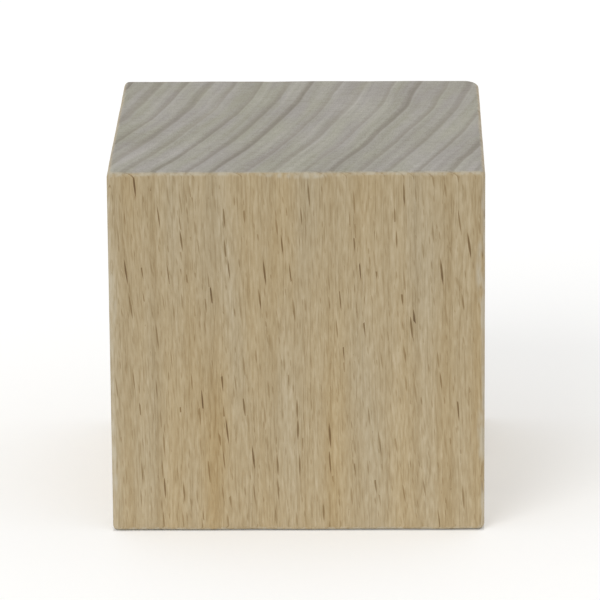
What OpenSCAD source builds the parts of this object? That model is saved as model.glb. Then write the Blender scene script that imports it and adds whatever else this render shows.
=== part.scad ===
// Wooden cube: one solid block of beech, sawn from a square batten and sanded,
// with eased arrises, rounded corners and one corner worn rounder than the rest.
// Millimetres, +Z up. The origin is the middle of the face that the cube rests on.
// The grain runs along Z, so the top and the resting face are end grain.

/* [Block] */
// Length of each side, measured over the sanded faces
side = 40; // [20:1:80]

/* [Edges] */
// Radius that sanding leaves along the arrises and at the corners
arris_r = 0.6; // [0.2:0.1:1]

/* [Worn corner] */
// How far the middle of the worn rounding lies inside each of the three faces
worn_inset = 3; // [3:0.5:8]
// How much deeper the worn corner is than one that is only sanded
worn_depth = 0.5; // [0.1:0.05:0.6]

/* [Hidden] */
// Facets in a full turn of a rounding
$fn = 64;
// How far a cutter stands clear of the faces that it trims
cutter_margin = 1;
// From the middle of the cube to the centre lines of the sanded roundings
arris_at = side / 2 - arris_r;
// From the middle of the cube to the middle of the worn rounding
worn_at = side / 2 - worn_inset;
// Reach along the diagonal to a sanded corner, less what is worn off it
worn_r = (worn_inset - arris_r) * sqrt(3) + arris_r - worn_depth;

// What sanding takes off one arris, which runs along Z: a bar with one hollowed
// side, its rounding centred on the origin
module arris_waste() {
    difference() {
        translate([0, 0, -arris_at])
            cube([arris_r + cutter_margin, arris_r + cutter_margin, 2 * arris_at]);
        cylinder(r = arris_r, h = side, center = true);
    }
}

// What a ball of the given radius about the origin leaves outside it at a corner
// that lies the given inset away along X, Y and Z
module corner_waste(inset, radius) {
    difference() {
        cube(inset + cutter_margin);
        sphere(r = radius);
    }
}

// Four arrises along Z, four along X and four along Y
module sanded_arrises() {
    for (axis_turn = [[0, 0, 0], [0, 90, 0], [90, 0, 0]])
        rotate(axis_turn)
            for (quarter = [0:90:270])
                rotate(quarter)
                    translate([arris_at, arris_at, 0])
                        arris_waste();
}

// Four corners at the top, and the same four turned over to the bottom
module sanded_corners() {
    for (turn_over = [0, 180])
        rotate([turn_over, 0, 0])
            for (quarter = [0:90:270])
                rotate(quarter)
                    translate([arris_at, arris_at, arris_at])
                        corner_waste(arris_r, arris_r);
}

// The top corner between the right and the back face
module worn_corner() {
    translate([worn_at, worn_at, worn_at])
        corner_waste(worn_inset, worn_r);
}

module wooden_cube() {
    color("#AE9B7B")
        translate([0, 0, side / 2])
            difference() {
                cube(side, center = true);
                sanded_arrises();
                sanded_corners();
                worn_corner();
            }
}

wooden_cube();
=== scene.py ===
"""A sanded beech cube, as a Blender add-on that is run as a script.

The block is one piece of wood. Its growth rings, rays, vessels and pores are worked out in the
space of the log it was cut from, so that the pattern runs through the block and every face shows
its own cut of the same grain. Lengths are in metres unless a name or comment says millimetres.
"""

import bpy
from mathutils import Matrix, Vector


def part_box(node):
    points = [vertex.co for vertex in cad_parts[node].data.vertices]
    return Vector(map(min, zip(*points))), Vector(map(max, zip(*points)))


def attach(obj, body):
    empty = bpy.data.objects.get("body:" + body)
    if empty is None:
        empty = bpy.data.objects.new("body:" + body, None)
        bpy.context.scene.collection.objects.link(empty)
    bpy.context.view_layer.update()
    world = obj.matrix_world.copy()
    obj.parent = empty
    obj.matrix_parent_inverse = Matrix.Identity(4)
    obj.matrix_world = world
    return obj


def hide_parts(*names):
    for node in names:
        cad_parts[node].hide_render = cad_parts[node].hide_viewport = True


bl_info = {
    "name": "Wooden cube",
    "version": (1, 0, 0),
    "blender": (4, 5, 0),
    "location": "3D View > Sidebar > Wooden cube",
    "description": "Builds a sanded beech cube with its grain, and a plain studio round it",
    "category": "Object",
}

import math

import bpy
from bpy.props import FloatProperty, FloatVectorProperty, IntProperty, PointerProperty
from mathutils import Quaternion, Vector

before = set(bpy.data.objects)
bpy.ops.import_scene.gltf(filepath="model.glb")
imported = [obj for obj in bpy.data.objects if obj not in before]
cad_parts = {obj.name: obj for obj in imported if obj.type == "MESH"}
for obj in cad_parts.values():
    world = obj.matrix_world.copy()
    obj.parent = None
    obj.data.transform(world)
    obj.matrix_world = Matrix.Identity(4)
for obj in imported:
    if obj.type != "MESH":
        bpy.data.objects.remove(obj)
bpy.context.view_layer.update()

NODE = "wooden_cube"
MM = 0.001
CAD_LOW, CAD_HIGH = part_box(NODE)
CAD_SIDE = CAD_HIGH[0] - CAD_LOW[0]

# Which sockets of a Mix node carry colours
MIX_FACTOR, MIX_A, MIX_B, MIX_RESULT = 0, 6, 7, 2


def linear(colour):
    """Turns an sRGB hex colour into linear red, green and blue."""
    channels = [int(colour[i : i + 2], 16) / 255 for i in (1, 3, 5)]
    return tuple(c / 12.92 if c <= 0.04045 else ((c + 0.055) / 1.055) ** 2.4 for c in channels)


def add(tree, kind, inputs=None, out=0, **settings):
    """Adds a node with its settings, feeds its inputs with values or outputs, and gives one output."""
    node = tree.nodes.new(kind)
    for name, value in settings.items():
        setattr(node, name, value)
    for key, value in (inputs or {}).items():
        if isinstance(value, bpy.types.NodeSocket):
            tree.links.new(value, node.inputs[key])
        else:
            node.inputs[key].default_value = value
    return node.outputs[out] if len(node.outputs) else node


class BlockSizes(bpy.types.PropertyGroup):
    """Sizes of the block"""

    side: FloatProperty(
        name="Side", description="Length of each side over the sanded faces",
        default=CAD_SIDE, min=10 * MM, unit="LENGTH")
    arris_radius: FloatProperty(
        name="Arris radius", description="Radius that sanding leaves along the edges",
        default=0.6 * MM, min=0.1 * MM, precision=5, unit="LENGTH")
    unevenness: FloatProperty(
        name="Unevenness", description="How much the arris radius comes and goes along an edge",
        default=0.3, min=0, max=0.8, subtype="FACTOR")
    unevenness_length: FloatProperty(
        name="Unevenness length", description="How far apart the wider and narrower stretches lie",
        default=7 * MM, min=1 * MM, precision=4, unit="LENGTH")
    worn_inset: FloatProperty(
        name="Worn inset", description="How far inside the faces the worn rounding is centred",
        default=3 * MM, min=1 * MM, precision=4, unit="LENGTH")
    worn_depth: FloatProperty(
        name="Worn depth", description="How much deeper the worn corner is than a sanded one",
        default=0.5 * MM, min=0, precision=5, unit="LENGTH")
    worn_softness: FloatProperty(
        name="Worn softness", description="Width over which the worn rounding runs out",
        default=0.15 * MM, min=0, precision=5, unit="LENGTH")
    divisions: IntProperty(
        name="Divisions", description="Faces of the mesh along one side",
        default=72, min=12)
    arris_divisions: IntProperty(
        name="Arris divisions", description="How many of them lie near each edge",
        default=12, min=3)


class BeechLook(bpy.types.PropertyGroup):
    """Colours and grain of the beech"""

    side_colour: FloatVectorProperty(
        name="Side grain", description="Cooler wood on the four faces along the fibres",
        default=linear("#A7987B"), size=3, min=0, max=1, subtype="COLOR")
    warm_colour: FloatVectorProperty(
        name="Warm streaks", description="Warmer wood on the four faces along the fibres",
        default=linear("#A79169"), size=3, min=0, max=1, subtype="COLOR")
    # The end grain ground is partly the wood's own greyer colour and partly a painted cool sheen
    end_grain_and_sheen_colour: FloatVectorProperty(
        name="End grain", description="Ground colour of the two sawn ends",
        default=linear("#A4A192"), size=3, min=0, max=1, subtype="COLOR")
    end_cool_colour: FloatVectorProperty(
        name="Cooler end grain", description="Greyer bands in the ground of the two sawn ends",
        default=linear("#A49F98"), size=3, min=0, max=1, subtype="COLOR")
    end_late_colour: FloatVectorProperty(
        name="End late wood", description="End grain on its way to the dark line of a ring",
        default=linear("#8D867A"), size=3, min=0, max=1, subtype="COLOR")
    # The arris colour is partly loose pale fibres and partly a painted highlight along the edges
    pale_arris_and_highlight_colour: FloatVectorProperty(
        name="Arris", description="Loose pale fibres along the sanded edges",
        default=linear("#BBB29D"), size=3, min=0, max=1, subtype="COLOR")
    arris_seed: FloatProperty(
        name="Arris seed", description="Picks which arrises are scuffed widely and which narrowly",
        default=4)
    pith_distance: FloatProperty(
        name="Pith distance", description="From the middle of the block to the middle of the log",
        default=220 * MM, min=30 * MM, unit="LENGTH")
    pith_bearing: FloatProperty(
        name="Pith bearing", description="Direction of the log's middle, turned from +X to +Y",
        default=math.radians(165.5), subtype="ANGLE")
    ring_width: FloatProperty(
        name="Ring width", description="Mean width of a year's growth",
        default=2.9 * MM, min=0.5 * MM, precision=4, unit="LENGTH")
    ring_shift: FloatProperty(
        name="Ring shift", description="Moves the rings, and which are bold, in towards the pith",
        default=-71.6 * MM, precision=4, unit="LENGTH")
    spiral: FloatProperty(
        name="Spiral", description="Slant of the fibres round the log",
        default=math.radians(1.6), subtype="ANGLE")


class StudioLook(bpy.types.PropertyGroup):
    """Camera, light and floor"""

    azimuth: FloatProperty(
        name="Azimuth", description="How far the camera stands to the right of the front",
        default=math.radians(1), subtype="ANGLE")
    elevation: FloatProperty(
        name="Elevation", description="How far the camera stands above the block's middle",
        default=math.radians(16.5), subtype="ANGLE")
    roll: FloatProperty(
        name="Roll", description="How far the camera leans over to its right",
        default=math.radians(0.45), subtype="ANGLE")
    distance: FloatProperty(
        name="Distance", description="From the camera to the block's middle, in sides of the block",
        default=13.8, min=3)
    lens: FloatProperty(
        name="Lens", description="Focal length of the camera, in millimetres",
        default=300, min=20, subtype="DISTANCE_CAMERA")
    floor_colour: FloatVectorProperty(
        name="Floor", description="Colour of the card that the block stands on",
        default=linear("#F4F4F3"), size=3, min=0, max=1, subtype="COLOR")
    floor_lift: FloatProperty(
        name="Floor lift", description="How much brighter than its light the camera sees the card",
        default=0.2, min=0)
    key: FloatProperty(
        name="Key light", description="Strength of the soft light from the upper left",
        default=0.26, min=0)
    key_from_left: FloatProperty(
        name="Key from the left", description="How far round to the left of the front it stands",
        default=math.radians(32), subtype="ANGLE")
    key_above: FloatProperty(
        name="Key above", description="How high above the floor it stands",
        default=math.radians(33), subtype="ANGLE")
    key_softness: FloatProperty(
        name="Key softness", description="Width of the key light as the block sees it",
        default=math.radians(35), subtype="ANGLE")
    ambient: FloatProperty(
        name="Ambient light", description="Strength of the light from all round",
        default=0.78, min=0)
    low_fill: FloatProperty(
        name="Low fill", description="Extra light that the card throws up close round the block",
        default=0.4, min=0)
    low_reach: FloatProperty(
        name="Low reach", description="How far out from the block it does so, in sides of the block",
        default=1.6, min=0.1)


def grain_space(tree, look):
    """Place in the log, in millimetres, and how squarely the surface there cuts across the rays.

    In the log, X runs round the pith, Y out from it and Z along the fibres. The cut is 1 where
    the surface faces the pith and small where it runs out from the pith, as the rays do.
    """
    place = add(tree, "ShaderNodeTexCoord", out="Object")
    place = add(tree, "ShaderNodeVectorMath", {0: place, "Scale": 1 / MM}, operation="SCALE")

    # Fibres sway by a few tenths of a millimetre, slowly along their length
    slow = add(tree, "ShaderNodeVectorMath", {0: place, 1: (12, 12, 45)}, operation="DIVIDE")
    sway = add(tree, "ShaderNodeTexNoise", {"Vector": slow, "Scale": 1, "Detail": 1}, out="Color")
    sway = add(tree, "ShaderNodeVectorMath", {0: sway, 1: (0.5, 0.5, 0.5)}, operation="SUBTRACT")
    reach = (1.2, 1.2, 1.2)
    place = add(tree, "ShaderNodeVectorMath", {0: sway, 1: reach, 2: place}, operation="MULTIPLY_ADD")

    distance = look.pith_distance / MM
    pith = Vector((math.cos(look.pith_bearing), math.sin(look.pith_bearing), 0)) * distance
    place = add(tree, "ShaderNodeVectorMath", {0: place, 1: pith}, operation="SUBTRACT")
    x, y, z = add(tree, "ShaderNodeSeparateXYZ", {0: place}).node.outputs
    flat = add(tree, "ShaderNodeVectorMath", {0: place, 1: (1, 1, 0)}, operation="MULTIPLY")
    out = add(tree, "ShaderNodeVectorMath", {0: flat}, "Value", operation="LENGTH")
    turn = add(tree, "ShaderNodeMath", {0: y, 1: x}, operation="ARCTAN2")
    slant = add(tree, "ShaderNodeMath", {0: z, 1: math.tan(look.spiral)}, operation="MULTIPLY")
    round_pith = add(tree, "ShaderNodeMath", {0: turn, 1: distance, 2: slant}, operation="MULTIPLY_ADD")
    grain = add(tree, "ShaderNodeCombineXYZ", {0: round_pith, 1: out, 2: z})

    facing = add(tree, "ShaderNodeNewGeometry", out="True Normal")
    outward = add(tree, "ShaderNodeVectorMath", {0: flat}, operation="NORMALIZE")
    cut = add(tree, "ShaderNodeVectorMath", {0: facing, 1: outward}, "Value", operation="DOT_PRODUCT")
    cut = add(tree, "ShaderNodeMath", {0: cut}, operation="ABSOLUTE")
    return grain, cut


def growth_rings(tree, look, grain, broad):
    """How far across its ring a place lies, from 0 to 1 at the dark line, and how bold that ring is."""
    out = add(tree, "ShaderNodeSeparateXYZ", {0: grain}, "Y")
    # Each row: stretch of the noise in millimetres round, out and along, and its depth in millimetres.
    # The first makes wide and narrow years, the second bends the rings, the third ripples them.
    for stretch, depth in (((1e6, 4, 1e6), 2.4), ((22, 30, 50), 0.25), ((2, 6, 25), 0.1)):
        spot = add(tree, "ShaderNodeVectorMath", {0: grain, 1: stretch}, operation="DIVIDE")
        noise = add(tree, "ShaderNodeTexNoise", {"Vector": spot, "Scale": 1, "Detail": 0})
        out = add(tree, "ShaderNodeMath", {0: noise, 1: depth, 2: out}, operation="MULTIPLY_ADD")
    # A ring dips towards the pith where a broad ray crosses it, by this many millimetres
    dip = 0.12
    out = add(tree, "ShaderNodeMath", {0: broad, 1: dip, 2: out}, operation="MULTIPLY_ADD")
    out = add(tree, "ShaderNodeMath", {0: out, 1: look.ring_shift / MM}, operation="ADD")
    count = add(tree, "ShaderNodeMath", {0: out, 1: look.ring_width / MM}, operation="DIVIDE")
    across = add(tree, "ShaderNodeMath", {0: count}, operation="FRACT")
    year = add(tree, "ShaderNodeMath", {0: count}, operation="FLOOR")
    chance = add(tree, "ShaderNodeTexWhiteNoise", {"W": year}, noise_dimensions="1D")
    bold = add(tree, "ShaderNodeMath", {0: chance, 1: 3}, operation="POWER")
    bold = add(tree, "ShaderNodeMapRange", {"Value": bold, "To Min": 0.4, "To Max": 1.2})
    return across, bold


def rays(tree, grain, cut, spacing, tallest, half_width, shift):
    """Thin upright plates that run out from the pith, as a mask from 0 to 1.

    spacing is their mean distance round the pith, out from it and along the fibres, tallest is
    half the height of the tallest and half_width half the width that the surface shows, all in
    millimetres; shift moves one set of plates away from another. On a face that cuts squarely
    across them they are drawn thicker than they are, so that they show, and cut scales them down
    on the other faces.
    """
    cell = add(tree, "ShaderNodeVectorMath", {0: grain, 1: spacing}, operation="DIVIDE")
    cell = add(tree, "ShaderNodeVectorMath", {0: cell, 1: (shift, shift, shift)}, operation="ADD")
    nearest = add(tree, "ShaderNodeTexVoronoi", {"Vector": cell, "Scale": 1, "Randomness": 0.85},
                  "Position")
    chance = add(tree, "ShaderNodeSeparateColor", {0: nearest.node.outputs["Color"]}).node.outputs
    away = add(tree, "ShaderNodeVectorMath", {0: cell, 1: nearest}, operation="SUBTRACT")
    away = add(tree, "ShaderNodeVectorMath", {0: away, 1: spacing}, operation="MULTIPLY")
    away = add(tree, "ShaderNodeVectorMath", {0: away}, operation="ABSOLUTE")
    across, out, along = add(tree, "ShaderNodeSeparateXYZ", {0: away}).node.outputs
    across = add(tree, "ShaderNodeMath", {0: across, 1: cut}, operation="DIVIDE")
    height = add(tree, "ShaderNodeMapRange", {
        "Value": chance[0], "To Min": tallest * 0.4, "To Max": tallest})
    width = add(tree, "ShaderNodeMapRange", {
        "Value": chance[1], "To Min": half_width * 0.55, "To Max": half_width})
    # A plate thins towards its top and foot, so that a cut across it is a spindle
    rise = add(tree, "ShaderNodeMath", {0: along, 1: height}, operation="DIVIDE")
    rise = add(tree, "ShaderNodeMath", {0: rise, 1: 2}, operation="POWER")
    thick = add(tree, "ShaderNodeMath", {0: across, 1: width}, operation="DIVIDE")
    spindle = add(tree, "ShaderNodeMath", {0: rise, 1: thick}, operation="ADD")
    mask = add(tree, "ShaderNodeMapRange", {"Value": spindle, "From Min": 1.2, "From Max": 0.4},
               interpolation_type="SMOOTHSTEP")
    # Few plates are both tall and dark, and most are faint
    depth = add(tree, "ShaderNodeMath", {0: chance[0], 1: chance[2]}, operation="MULTIPLY")
    depth = add(tree, "ShaderNodeMapRange", {"Value": depth, "To Min": 0.1, "To Max": 1.3})
    return add(tree, "ShaderNodeMath", {0: mask, 1: depth}, operation="MULTIPLY")


def streaks(tree, grain, stretch, detail=1):
    """Noise drawn out along the fibres, about 0.5, with its stretch in millimetres."""
    spot = add(tree, "ShaderNodeVectorMath", {0: grain, 1: stretch}, operation="DIVIDE")
    return add(tree, "ShaderNodeTexNoise", {"Vector": spot, "Scale": 1, "Detail": detail})


def sanded_beech(look):
    """Beech, planed and belt-sanded, with no finish on it.

    To the eye it is a matt tan wood with a dull sheen at a glancing angle. The four faces along
    the fibres carry short dark spindles, where they cut the rays, and soft upright streaks. The
    two ends are greyer, partly in their own colour and partly in a painted cool sheen, with thin
    dark ring lines, fine lines of rays across them and fine pores. The arrises are paler, partly
    from loose fibres and partly with a painted highlight.
    """
    material = bpy.data.materials.new("Beech, planed and sanded")
    material.use_nodes = True
    tree = material.node_tree
    tree.nodes.clear()

    grain, cut = grain_space(tree, look)
    # Even a face that runs along the rays shows some, and the sawn ends show them edge on
    least_cut, end_cut = 0.15, 0.45
    ray_cut = add(tree, "ShaderNodeMath", {0: cut, 1: least_cut}, operation="MAXIMUM")
    end = add(tree, "ShaderNodeAttribute", out="Fac", attribute_name="end_grain")
    ray_cut = add(tree, "ShaderNodeMath", {0: end, 1: end_cut, 2: ray_cut}, operation="MULTIPLY_ADD")
    broad = rays(tree, grain, ray_cut, (0.85, 18, 3.0), tallest=1.6, half_width=0.125, shift=0)
    fine = rays(tree, grain, ray_cut, (0.32, 9, 1.4), tallest=0.6, half_width=0.08, shift=7.3)
    across, bold = growth_rings(tree, look, grain, broad)
    arris = add(tree, "ShaderNodeAttribute", out="Fac", attribute_name="arris")

    # Along the fibres a year darkens gently to its end, which pales again within a tenth of it
    fade = add(tree, "ShaderNodeMapRange", {"Value": across, "From Min": 1, "From Max": 0.9},
               interpolation_type="SMOOTHSTEP")
    season = add(tree, "ShaderNodeMapRange", {"Value": across, "From Min": 0.2, "From Max": 0.95},
                 interpolation_type="SMOOTHSTEP")
    season = add(tree, "ShaderNodeMath", {0: season, 1: fade}, operation="MULTIPLY")
    season = add(tree, "ShaderNodeMath", {0: season, 1: bold}, operation="MULTIPLY")
    # On the ends a year is nearly even, up to a thin dark line that is bold in some years only
    line = add(tree, "ShaderNodeMapRange", {"Value": across, "From Min": 0.58, "From Max": 0.87},
               interpolation_type="SMOOTHSTEP")
    line = add(tree, "ShaderNodeMath", {0: line, 1: fade}, operation="MULTIPLY")
    line = add(tree, "ShaderNodeMath", {0: line, 1: bold}, operation="MULTIPLY")
    late = add(tree, "ShaderNodeMath", {0: across, 1: fade}, operation="MULTIPLY")
    late = add(tree, "ShaderNodeMath", {0: late, 1: 0.2}, operation="MULTIPLY")
    late = add(tree, "ShaderNodeMath", {0: line, 1: 0.6, 2: late}, operation="MULTIPLY_ADD")

    # Faint lines that follow the rings, between their dark lines
    band = streaks(tree, grain, (30, 0.8, 80), 2)
    # Rings show less on a face that runs along the rays
    ring_show = add(tree, "ShaderNodeMapRange", {"Value": cut, "To Min": 0.1, "To Max": 1})
    side_late = add(tree, "ShaderNodeMath", {0: season, 1: ring_show}, operation="MULTIPLY")

    # Streaks of fibres, long and short, and the vessels, cut open along their length
    long_fibre = streaks(tree, grain, (0.9, 0.9, 40), 2)
    short_fibre = streaks(tree, grain, (0.26, 0.26, 1.6), 2)
    vessel = streaks(tree, grain, (0.12, 0.12, 5), 0)
    vessel = add(tree, "ShaderNodeMapRange", {"Value": vessel, "From Min": 0.58, "From Max": 0.72})

    # Side grain. The depth is how many times over the ground colour stains the light, and each
    # row gives what one kind of mark adds to it at its fullest
    drift = streaks(tree, grain, (5, 4, 45), 1)
    drift = add(tree, "ShaderNodeMapRange", {"Value": drift, "From Min": 0.24, "From Max": 0.76})
    side = add(tree, "ShaderNodeMix", {
        MIX_FACTOR: drift, MIX_A: (*look.side_colour, 1), MIX_B: (*look.warm_colour, 1)},
        MIX_RESULT, data_type="RGBA")
    depth = 0.497
    for mask, strength in (
            (long_fibre, 0.2), (short_fibre, 0.55), (band, 0.15), (vessel, 0.14), (side_late, 0.25),
            (line, 0.04), (fine, 0.35), (broad, 1.02)):
        depth = add(tree, "ShaderNodeMath", {0: mask, 1: strength, 2: depth}, operation="MULTIPLY_ADD")
    side = add(tree, "ShaderNodeGamma", {"Color": side, "Gamma": depth})

    # End grain: late wood, the ring line, rays seen edge on and pores, fewer in the late wood
    spot = add(tree, "ShaderNodeVectorMath", {0: grain, 1: (0.13, 0.13, 6)}, operation="DIVIDE")
    pore = add(tree, "ShaderNodeTexVoronoi", {"Vector": spot, "Scale": 1, "Randomness": 1}, "Distance")
    pore = add(tree, "ShaderNodeMapRange", {"Value": pore, "From Min": 0.45, "From Max": 0.2})
    open_wood = add(tree, "ShaderNodeMapRange", {
        "Value": across, "From Min": 0.7, "From Max": 0.95, "To Min": 1, "To Max": 0.2})
    pore = add(tree, "ShaderNodeMath", {0: pore, 1: open_wood}, operation="MULTIPLY")
    tint = streaks(tree, grain, (12, 2, 80), 2)
    tint = add(tree, "ShaderNodeMapRange", {"Value": tint, "From Min": 0.35, "From Max": 0.65})
    # Both ground colours of the ends are greyed past the wood's own tone: a painted cool sheen
    ends = add(tree, "ShaderNodeMix", {
        MIX_FACTOR: tint, MIX_A: (*look.end_grain_and_sheen_colour, 1), MIX_B: (*look.end_cool_colour, 1)},
        MIX_RESULT, data_type="RGBA")
    ends = add(tree, "ShaderNodeMix", {
        MIX_FACTOR: late, MIX_A: ends, MIX_B: (*look.end_late_colour, 1)}, MIX_RESULT,
        data_type="RGBA")
    cloud = streaks(tree, grain, (14, 5, 80), 1)
    depth = 0.325
    for mask, strength in (
            (long_fibre, 0.25), (short_fibre, 0.2), (band, 0.5), (cloud, 0.35), (pore, 0.2),
            (line, 0.21), (fine, 0.15), (broad, 0.35)):
        depth = add(tree, "ShaderNodeMath", {0: mask, 1: strength, 2: depth}, operation="MULTIPLY_ADD")
    ends = add(tree, "ShaderNodeGamma", {"Color": ends, "Gamma": depth})

    colour = add(tree, "ShaderNodeMix", {MIX_FACTOR: end, MIX_A: side, MIX_B: ends}, MIX_RESULT,
                 data_type="RGBA")

    # Sanding leaves loose fibres on the arrises and scuffs a strip beside them, both paler. The same
    # pale colour also paints the highlight that the edges catch from the light. The strip is wide
    # along some arrises and narrow along others
    spot = add(tree, "ShaderNodeVectorMath", {0: grain, 1: (16, 16, 16)}, operation="DIVIDE")
    strip = add(tree, "ShaderNodeTexNoise", {
        "Vector": spot, "W": look.arris_seed, "Scale": 1, "Detail": 0}, noise_dimensions="4D")
    strip = add(tree, "ShaderNodeMapRange", {"Value": strip, "From Min": 0.53, "From Max": 0.68,
                                             "To Min": 0.4, "To Max": 1.2})
    beside = add(tree, "ShaderNodeAttribute", out="Fac", attribute_name="from_arris")
    beside = add(tree, "ShaderNodeMath", {0: beside, 1: strip}, operation="DIVIDE")
    beside = add(tree, "ShaderNodeMapRange", {"Value": beside, "From Min": 1.1, "From Max": 0.6},
                 interpolation_type="SMOOTHSTEP")
    side_only = add(tree, "ShaderNodeMath", {0: 1, 1: end}, operation="SUBTRACT")
    beside = add(tree, "ShaderNodeMath", {0: beside, 1: side_only}, operation="MULTIPLY")
    arris = add(tree, "ShaderNodeMath", {0: arris, 1: beside}, operation="MAXIMUM")
    patch = streaks(tree, grain, (0.7, 0.7, 2.5), 2)
    patch = add(tree, "ShaderNodeMapRange", {"Value": patch, "From Min": 0.39, "From Max": 0.64,
                                             "To Min": 0, "To Max": 0.7})
    worn = add(tree, "ShaderNodeMath", {0: arris, 1: patch}, operation="MULTIPLY")
    # Pale arrises and the strips beside them: part wear, part painted highlight
    colour = add(tree, "ShaderNodeMix", {
        MIX_FACTOR: worn, MIX_A: colour, MIX_B: (*look.pale_arris_and_highlight_colour, 1)}, MIX_RESULT, data_type="RGBA")

    # Bare wood is rough, and the torn fibres of the ends are rougher; rays are burnished by sanding
    burnish = 0.12
    rough = add(tree, "ShaderNodeMapRange", {"Value": end, "To Min": 0.58, "To Max": 0.72})
    rough = add(tree, "ShaderNodeMath", {0: broad, 1: -burnish, 2: rough}, operation="MULTIPLY_ADD")

    # Relief in millimetres: open vessels and pores, and fibres that stand up a little
    relief = add(tree, "ShaderNodeMath", {0: short_fibre, 1: 0.02}, operation="MULTIPLY")
    relief = add(tree, "ShaderNodeMath", {0: vessel, 1: -0.015, 2: relief}, operation="MULTIPLY_ADD")
    holes = add(tree, "ShaderNodeMath", {0: pore, 1: -0.03}, operation="MULTIPLY")
    relief = add(tree, "ShaderNodeMix", {0: end, 2: relief, 3: holes}, data_type="FLOAT")
    bump = add(tree, "ShaderNodeBump", {"Height": relief, "Distance": MM, "Strength": 1})

    shader = add(tree, "ShaderNodeBsdfPrincipled", {
        "Base Color": colour, "Roughness": rough, "Metallic": 0, "IOR": 1.5, "Normal": bump})
    add(tree, "ShaderNodeOutputMaterial", {"Surface": shader})
    return material


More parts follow.
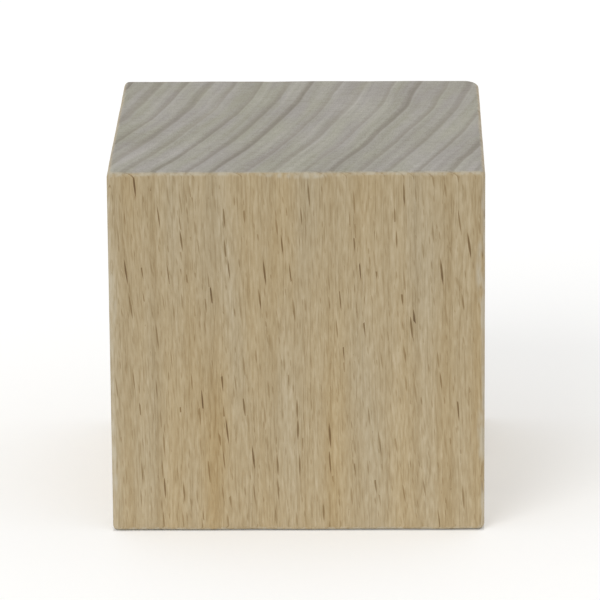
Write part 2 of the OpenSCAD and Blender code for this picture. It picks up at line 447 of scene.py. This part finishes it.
def sanded_block_tree():
    """Geometry Nodes that roll over the arrises and corners of a finely divided cube."""
    tree = bpy.data.node_groups.new("Sanded block", "GeometryNodeTree")
    tree.is_modifier = True
    numbers = (
        "Side", "Arris Radius", "Unevenness", "Unevenness Length",
        "Worn Inset", "Worn Depth", "Worn Softness")
    for name in numbers:
        tree.interface.new_socket(name, in_out="INPUT", socket_type="NodeSocketFloat")
    for name in ("Divisions", "Arris Divisions"):
        tree.interface.new_socket(name, in_out="INPUT", socket_type="NodeSocketInt")
    tree.interface.new_socket("Material", in_out="INPUT", socket_type="NodeSocketMaterial")
    tree.interface.new_socket("Geometry", in_out="OUTPUT", socket_type="NodeSocketGeometry")
    given = tree.nodes.new("NodeGroupInput").outputs

    half = add(tree, "ShaderNodeMath", {0: given["Side"], 1: 0.5}, operation="MULTIPLY")
    rows = add(tree, "ShaderNodeMath", {0: given["Divisions"], 1: 1}, operation="ADD")
    cube = add(tree, "GeometryNodeMeshCube", {
        "Size": (2, 2, 2), "Vertices X": rows, "Vertices Y": rows, "Vertices Z": rows}, "Mesh")

    # The block is symmetrical, so one eighth stands for all: work on distances from its middle
    grid = add(tree, "GeometryNodeInputPosition")
    octant = add(tree, "ShaderNodeVectorMath", {0: grid}, operation="SIGN")
    grid = add(tree, "ShaderNodeVectorMath", {0: grid}, operation="ABSOLUTE")

    # Crowd the arris divisions into a band along each edge and spread the rest over the flats
    radii_wide = 2.5
    band = add(tree, "ShaderNodeMath", {0: given["Arris Radius"], 1: radii_wide}, operation="MULTIPLY")
    flat = add(tree, "ShaderNodeMath", {0: half, 1: band}, operation="SUBTRACT")
    share = add(tree, "ShaderNodeMath", {
        0: given["Arris Divisions"], 1: given["Divisions"]}, operation="DIVIDE")
    share = add(tree, "ShaderNodeMath", {0: share, 1: 2}, operation="MULTIPLY")
    flat_share = add(tree, "ShaderNodeMath", {0: 1, 1: share}, operation="SUBTRACT")
    inner = add(tree, "ShaderNodeVectorMath", {0: grid, 1: flat_share}, operation="DIVIDE")
    inner = add(tree, "ShaderNodeVectorMath", {0: inner, 1: (1, 1, 1)}, operation="MINIMUM")
    inner = add(tree, "ShaderNodeVectorMath", {0: inner, "Scale": flat}, operation="SCALE")
    outer = add(tree, "ShaderNodeVectorMath", {0: grid, 1: flat_share}, operation="SUBTRACT")
    outer = add(tree, "ShaderNodeVectorMath", {0: outer, 1: (0, 0, 0)}, operation="MAXIMUM")
    outer = add(tree, "ShaderNodeVectorMath", {0: outer, 1: share}, operation="DIVIDE")
    outer = add(tree, "ShaderNodeVectorMath", {0: outer, "Scale": band}, operation="SCALE")
    sharp = add(tree, "ShaderNodeVectorMath", {0: inner, 1: outer}, operation="ADD")

    # The arris radius comes and goes along the edges
    spot = add(tree, "ShaderNodeVectorMath", {0: sharp, 1: octant}, operation="MULTIPLY")
    spot = add(tree, "ShaderNodeVectorMath", {0: spot, 1: given["Unevenness Length"]},
               operation="DIVIDE")
    noise = add(tree, "ShaderNodeTexNoise", {"Vector": spot, "Scale": 1, "Detail": 3}, "Fac")
    noise = add(tree, "ShaderNodeMapRange", {
        "Value": noise, "From Min": 0.25, "From Max": 0.75, "To Min": -1, "To Max": 1})
    factor = add(tree, "ShaderNodeMath", {0: noise, 1: given["Unevenness"], 2: 1},
                 operation="MULTIPLY_ADD")
    radius = add(tree, "ShaderNodeMath", {0: given["Arris Radius"], 1: factor}, operation="MULTIPLY")

    # Roll what lies beyond the core of the block onto a ball of that radius
    core = add(tree, "ShaderNodeMath", {0: half, 1: radius}, operation="SUBTRACT")
    core = add(tree, "ShaderNodeVectorMath", {0: sharp, 1: core}, operation="MINIMUM")
    beyond = add(tree, "ShaderNodeVectorMath", {0: sharp, 1: core}, operation="SUBTRACT")
    beyond = add(tree, "ShaderNodeVectorMath", {0: beyond}, operation="NORMALIZE")
    beyond = add(tree, "ShaderNodeVectorMath", {0: beyond, "Scale": radius}, operation="SCALE")
    eased = add(tree, "ShaderNodeVectorMath", {0: core, 1: beyond}, operation="ADD")
    eased = add(tree, "ShaderNodeVectorMath", {0: eased, 1: octant}, operation="MULTIPLY")

    # Wear the corner at +X, +Y, +Z back to a larger ball
    middle = add(tree, "ShaderNodeMath", {0: half, 1: given["Worn Inset"]}, operation="SUBTRACT")
    ball = add(tree, "ShaderNodeMath", {
        0: given["Worn Inset"], 1: given["Arris Radius"]}, operation="SUBTRACT")
    ball = add(tree, "ShaderNodeMath", {
        0: ball, 1: math.sqrt(3), 2: given["Arris Radius"]}, operation="MULTIPLY_ADD")
    ball = add(tree, "ShaderNodeMath", {0: ball, 1: given["Worn Depth"]}, operation="SUBTRACT")
    outward = add(tree, "ShaderNodeVectorMath", {0: eased, 1: middle}, operation="SUBTRACT")
    length = add(tree, "ShaderNodeVectorMath", {0: outward}, "Value", operation="LENGTH")
    proud = add(tree, "ShaderNodeMath", {0: length, 1: ball}, operation="SUBTRACT")
    proud = add(tree, "ShaderNodeMath", {0: proud, 1: 0, 2: given["Worn Softness"]},
                operation="SMOOTH_MAX")
    x, y, z = add(tree, "ShaderNodeSeparateXYZ", {0: outward}).node.outputs
    least = add(tree, "ShaderNodeMath", {0: x, 1: y}, operation="MINIMUM")
    least = add(tree, "ShaderNodeMath", {0: least, 1: z}, operation="MINIMUM")
    at_corner = add(tree, "ShaderNodeMath", {0: least, 1: 0}, operation="GREATER_THAN")
    proud = add(tree, "ShaderNodeMath", {0: proud, 1: at_corner}, operation="MULTIPLY")
    outward = add(tree, "ShaderNodeVectorMath", {0: outward}, operation="NORMALIZE")
    worn = add(tree, "ShaderNodeVectorMath", {0: outward, "Scale": proud}, operation="SCALE")
    worn = add(tree, "ShaderNodeVectorMath", {0: eased, 1: worn}, operation="SUBTRACT")

    stand = add(tree, "ShaderNodeCombineXYZ", {"Z": half})
    worn = add(tree, "ShaderNodeVectorMath", {0: worn, 1: stand}, operation="ADD")
    block = add(tree, "GeometryNodeSetPosition", {"Geometry": cube, "Position": worn})

    # End grain shows where the surface is cut across the fibres
    normal = add(tree, "GeometryNodeInputNormal")
    upright = add(tree, "ShaderNodeSeparateXYZ", {0: normal}, "Z")
    upright = add(tree, "ShaderNodeMath", {0: upright}, operation="ABSOLUTE")
    end = add(tree, "ShaderNodeMapRange", {"Value": upright, "From Min": 0.6, "From Max": 0.97},
              interpolation_type="SMOOTHSTEP")
    block = add(tree, "GeometryNodeStoreNamedAttribute", {
        "Geometry": block, "Name": "end_grain", "Value": end}, data_type="FLOAT", domain="POINT")
    # How far each point of the faces lies from the nearest arris, in millimetres
    away = add(tree, "GeometryNodeInputPosition")
    away = add(tree, "ShaderNodeVectorMath", {0: away, 1: stand}, operation="SUBTRACT")
    away = add(tree, "ShaderNodeVectorMath", {0: away}, operation="ABSOLUTE")
    away = add(tree, "ShaderNodeVectorMath", {0: half, 1: away}, operation="SUBTRACT")
    x, y, z = add(tree, "ShaderNodeSeparateXYZ", {0: away}).node.outputs
    first = add(tree, "ShaderNodeMath", {0: x, 1: y}, operation="MINIMUM")
    second = add(tree, "ShaderNodeMath", {0: x, 1: y}, operation="MAXIMUM")
    second = add(tree, "ShaderNodeMath", {0: second, 1: z}, operation="MINIMUM")
    away = add(tree, "ShaderNodeMath", {0: first, 1: second}, operation="MAXIMUM")
    away = add(tree, "ShaderNodeMath", {0: away, 1: MM}, operation="DIVIDE")
    block = add(tree, "GeometryNodeStoreNamedAttribute", {
        "Geometry": block, "Name": "from_arris", "Value": away}, data_type="FLOAT", domain="POINT")
    # The arrises are where the normal leans away from all three directions
    square = add(tree, "ShaderNodeVectorMath", {0: normal}, operation="ABSOLUTE")
    x, y, z = add(tree, "ShaderNodeSeparateXYZ", {0: square}).node.outputs
    facing = add(tree, "ShaderNodeMath", {0: x, 1: y}, operation="MAXIMUM")
    facing = add(tree, "ShaderNodeMath", {0: facing, 1: z}, operation="MAXIMUM")
    arris = add(tree, "ShaderNodeMapRange", {"Value": facing, "From Min": 0.99, "From Max": 0.85},
                interpolation_type="SMOOTHSTEP")
    block = add(tree, "GeometryNodeStoreNamedAttribute", {
        "Geometry": block, "Name": "arris", "Value": arris}, data_type="FLOAT", domain="POINT")
    block = add(tree, "GeometryNodeSetShadeSmooth", {0: block})
    block = add(tree, "GeometryNodeRealizeInstances", {0: block})
    block = add(tree, "GeometryNodeSetMaterial", {"Geometry": block, "Material": given["Material"]})
    add(tree, "NodeGroupOutput", {0: block})
    return tree


class WOODENCUBE_OT_block(bpy.types.Operator):
    """Add the sanded beech block in place of the plain solid"""

    bl_idname = "wooden_cube.block"
    bl_label = "Add block"
    bl_options = {"REGISTER", "UNDO"}

    def execute(self, context):
        sizes = context.scene.wooden_cube_sizes
        tree = sanded_block_tree()
        block = bpy.data.objects.new("sanded_block", bpy.data.meshes.new("sanded_block"))
        context.scene.collection.objects.link(block)
        modifier = block.modifiers.new("Sanded block", "NODES")
        modifier.node_group = tree
        values = {
            "Side": sizes.side,
            "Arris Radius": sizes.arris_radius,
            "Unevenness": sizes.unevenness,
            "Unevenness Length": sizes.unevenness_length,
            "Worn Inset": sizes.worn_inset,
            "Worn Depth": sizes.worn_depth,
            "Worn Softness": sizes.worn_softness,
            "Divisions": sizes.divisions,
            "Arris Divisions": sizes.arris_divisions,
            "Material": sanded_beech(context.scene.wooden_cube_beech),
        }
        for item in tree.interface.items_tree:
            if item.in_out == "INPUT":
                modifier[item.identifier] = values[item.name]
        depsgraph = context.evaluated_depsgraph_get()
        mesh = bpy.data.meshes.new_from_object(
            block.evaluated_get(depsgraph), preserve_all_data_layers=True, depsgraph=depsgraph)
        block.modifiers.remove(modifier)
        block.data = mesh
        if not mesh.polygons:
            raise RuntimeError("the block came out empty")
        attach(block, "root")
        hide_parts(NODE)
        return {"FINISHED"}


def seen_rays(tree):
    """1 for rays that show what is behind the object: from the camera, a reflection or clear glass."""
    paths = add(tree, "ShaderNodeLightPath").node.outputs
    seen = add(tree, "ShaderNodeMath", {
        0: paths["Is Camera Ray"], 1: paths["Is Glossy Ray"]}, operation="MAXIMUM")
    return add(tree, "ShaderNodeMath", {0: seen, 1: paths["Is Transmission Ray"]},
               operation="MAXIMUM")


def white_card(look, side):
    """Matt white card. It shows as a white ground that still takes the object's soft shadow.

    Close round the block it throws up a little more light than it shows, so that the foot of each
    face is lit as it is on a pale table.
    """
    material = bpy.data.materials.new("White card, matt")
    material.use_nodes = True
    tree = material.node_tree
    tree.nodes.clear()
    card = add(tree, "ShaderNodeBsdfPrincipled", {
        "Base Color": (*look.floor_colour, 1), "Roughness": 0.9, "IOR": 1.5, "Specular IOR Level": 0.0})
    place = add(tree, "ShaderNodeTexCoord", out="Object")
    place = add(tree, "ShaderNodeVectorMath", {0: place}, operation="ABSOLUTE")
    x, y = add(tree, "ShaderNodeSeparateXYZ", {0: place}).node.outputs[:2]
    out = add(tree, "ShaderNodeMath", {0: x, 1: y}, operation="MAXIMUM")
    low = add(tree, "ShaderNodeMapRange", {
        "Value": out, "From Min": (0.5 + look.low_reach) * side, "From Max": 0.5 * side,
        "To Max": look.low_fill}, interpolation_type="SMOOTHSTEP")
    strength = add(tree, "ShaderNodeMapRange", {
        "Value": seen_rays(tree), "To Min": low, "To Max": look.floor_lift})
    # It adds nothing under the block, where the rounded foot leaves a dark gap
    clear = add(tree, "ShaderNodeMath", {0: out, 1: 0.5 * side}, operation="GREATER_THAN")
    strength = add(tree, "ShaderNodeMath", {0: strength, 1: clear}, operation="MULTIPLY")
    lift = add(tree, "ShaderNodeEmission", {"Color": (1, 1, 1, 1), "Strength": strength})
    both = add(tree, "ShaderNodeAddShader", {0: card, 1: lift})
    add(tree, "ShaderNodeOutputMaterial", {"Surface": both})
    return material


class WOODENCUBE_OT_stage(bpy.types.Operator):
    """Add the floor, the light and the camera"""

    bl_idname = "wooden_cube.stage"
    bl_label = "Add stage"
    bl_options = {"REGISTER", "UNDO"}

    def execute(self, context):
        scene = context.scene
        look = scene.wooden_cube_studio
        side = scene.wooden_cube_sizes.side
        middle = Vector((0, 0, side / 2))

        reach = 100 * side
        mesh = bpy.data.meshes.new("floor")
        corners = [(x * reach, y * reach, 0) for x, y in ((-1, -1), (1, -1), (1, 1), (-1, 1))]
        mesh.from_pydata(corners, [], [(0, 1, 2, 3)])
        mesh.materials.append(white_card(look, side))
        floor = bpy.data.objects.new("floor", mesh)
        scene.collection.objects.link(floor)

        # One broad soft light from the upper left and front; its strength is in watts a square metre
        lamp = bpy.data.lights.new("key", "SUN")
        lamp.energy = look.key * math.pi
        lamp.angle = look.key_softness
        key = bpy.data.objects.new("key", lamp)
        scene.collection.objects.link(key)
        toward = Vector((
            -math.sin(look.key_from_left), -math.cos(look.key_from_left),
            math.tan(look.key_above)))
        key.rotation_euler = toward.to_track_quat("Z", "Y").to_euler()

        # The same light from all round, and white wherever it is seen
        world = bpy.data.worlds.new("White studio")
        world.use_nodes = True
        tree = world.node_tree
        tree.nodes.clear()
        strength = add(tree, "ShaderNodeMapRange", {
            "Value": seen_rays(tree), "To Min": look.ambient, "To Max": 1})
        back = add(tree, "ShaderNodeBackground", {"Color": (1, 1, 1, 1), "Strength": strength})
        add(tree, "ShaderNodeOutputWorld", {"Surface": back})
        scene.world = world

        lens = bpy.data.cameras.new("camera")
        lens.lens = look.lens
        camera = bpy.data.objects.new("camera", lens)
        scene.collection.objects.link(camera)
        back = Vector((
            math.sin(look.azimuth) * math.cos(look.elevation),
            -math.cos(look.azimuth) * math.cos(look.elevation),
            math.sin(look.elevation)))
        camera.location = middle + back * look.distance * side
        level = back.to_track_quat("Z", "Y")
        camera.rotation_euler = (level @ Quaternion((0, 0, -1), look.roll)).to_euler()
        lens.clip_start = side
        lens.clip_end = 4 * reach
        scene.camera = camera
        scene.view_settings.view_transform = "Standard"
        return {"FINISHED"}


class WOODENCUBE_PT_panel(bpy.types.Panel):
    """Sizes, colours and the two steps"""

    bl_label = "Wooden cube"
    bl_idname = "WOODENCUBE_PT_panel"
    bl_space_type = "VIEW_3D"
    bl_region_type = "UI"
    bl_category = "Wooden cube"

    def draw(self, context):
        scene = context.scene
        for settings, operator in (
            (scene.wooden_cube_sizes, None),
            (scene.wooden_cube_beech, WOODENCUBE_OT_block.bl_idname),
            (scene.wooden_cube_studio, WOODENCUBE_OT_stage.bl_idname),
        ):
            box = self.layout.box()
            for name in settings.__annotations__:
                box.prop(settings, name)
            if operator:
                box.operator(operator)


CLASSES = (
    BlockSizes, BeechLook, StudioLook,
    WOODENCUBE_OT_block, WOODENCUBE_OT_stage, WOODENCUBE_PT_panel)


def register():
    for cls in CLASSES:
        bpy.utils.register_class(cls)
    bpy.types.Scene.wooden_cube_sizes = PointerProperty(type=BlockSizes)
    bpy.types.Scene.wooden_cube_beech = PointerProperty(type=BeechLook)
    bpy.types.Scene.wooden_cube_studio = PointerProperty(type=StudioLook)


def unregister():
    del bpy.types.Scene.wooden_cube_studio
    del bpy.types.Scene.wooden_cube_beech
    del bpy.types.Scene.wooden_cube_sizes
    for cls in reversed(CLASSES):
        bpy.utils.unregister_class(cls)


def main():
    register()
    bpy.ops.wooden_cube.block()
    bpy.ops.wooden_cube.stage()


if __name__ == "__main__":
    main()
